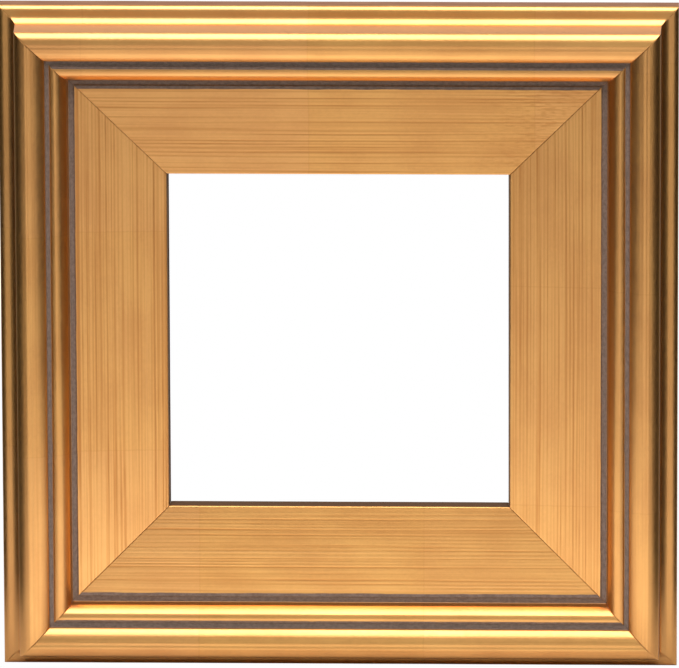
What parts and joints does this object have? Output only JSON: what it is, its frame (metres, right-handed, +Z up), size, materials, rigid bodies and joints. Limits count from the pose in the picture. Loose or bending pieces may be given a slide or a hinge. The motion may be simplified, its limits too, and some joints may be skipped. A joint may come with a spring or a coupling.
{
  "type": "picture frame",
  "caption": "Square gold-leafed picture frame with a wide flat panel and stepped outer moulding, with turn buttons, ring hangers and wall bumpers on its back.",
  "frame": {"origin": "on the wall's plane, midway between the bearing points of the two hanging rings", "axes": "+X along the frame's width, to the right as seen from the front; +Y from the frame into the wall, so the face looks along -Y; +Z up"},
  "size_m": [0.2922, 0.0363, 0.292],
  "materials": {
    "gilded_wood": "satin gold metal leaf over combed gesso on the face, grey-brown toned grooves, thin bronze tone on the sides, bare wood back",
    "v_nail_steel": "hardened blued steel",
    "turn_button_brass": "stamped, tumbled",
    "hanger_nickel": "nickel-plated folded strip",
    "ring_nickel": "nickel-plated wire",
    "screw_zinc": "bright zinc plate",
    "bumper_rubber": "matte black"
  },
  "bodies": {
    "frame": {"rail_top": "gilded_wood", "rail_right": "gilded_wood", "rail_bottom": "gilded_wood", "rail_left": "gilded_wood", "v_nail_top_left_1": "v_nail_steel", "v_nail_top_left_2": "v_nail_steel", "v_nail_top_left_3": "v_nail_steel", "v_nail_top_right_1": "v_nail_steel", "v_nail_top_right_2": "v_nail_steel", "v_nail_top_right_3": "v_nail_steel", "v_nail_bottom_right_1": "v_nail_steel", "v_nail_bottom_right_2": "v_nail_steel", "v_nail_bottom_right_3": "v_nail_steel", "v_nail_bottom_left_1": "v_nail_steel", "v_nail_bottom_left_2": "v_nail_steel", "v_nail_bottom_left_3": "v_nail_steel", "strap_hanger_left": "hanger_nickel", "strap_hanger_right": "hanger_nickel", "hanger_screw_left_1": "screw_zinc", "hanger_screw_left_2": "screw_zinc", "hanger_screw_right_1": "screw_zinc", "hanger_screw_right_2": "screw_zinc", "turn_button_screw_top": "screw_zinc", "turn_button_screw_right": "screw_zinc", "turn_button_screw_bottom": "screw_zinc", "turn_button_screw_left": "screw_zinc", "wall_bumper_left": "bumper_rubber", "wall_bumper_right": "bumper_rubber"},
    "ring_left": {"d_ring_left": "ring_nickel"},
    "ring_right": {"d_ring_right": "ring_nickel"},
    "button_top": {"turn_button_top": "turn_button_brass"},
    "button_right": {"turn_button_right": "turn_button_brass"},
    "button_bottom": {"turn_button_bottom": "turn_button_brass"},
    "button_left": {"turn_button_left": "turn_button_brass"}
  },
  "joints": [
    {"name": "d_ring_left_swing", "type": "hinge", "parent": "frame", "child": "ring_left", "pos_m": [-0.11005, -0.0024, -0.0104], "axis": [-1, 0, 0], "range_deg": [0, 160]},
    {"name": "d_ring_right_swing", "type": "hinge", "parent": "frame", "child": "ring_right", "pos_m": [0.11005, -0.0024, -0.0104], "axis": [-1, 0, 0], "range_deg": [0, 160]},
    {"name": "turn_button_top_turn", "type": "hinge", "parent": "frame", "child": "button_top", "pos_m": [0, -0.004, 0.02579], "axis": [0, 1, 0], "continuous": true},
    {"name": "turn_button_right_turn", "type": "hinge", "parent": "frame", "child": "button_right", "pos_m": [0.08579, -0.004, -0.06], "axis": [0, 1, 0], "continuous": true},
    {"name": "turn_button_bottom_turn", "type": "hinge", "parent": "frame", "child": "button_bottom", "pos_m": [0, -0.004, -0.14579], "axis": [0, 1, 0], "continuous": true},
    {"name": "turn_button_left_turn", "type": "hinge", "parent": "frame", "child": "button_left", "pos_m": [-0.08579, -0.004, -0.06], "axis": [0, 1, 0], "continuous": true}
  ]
}
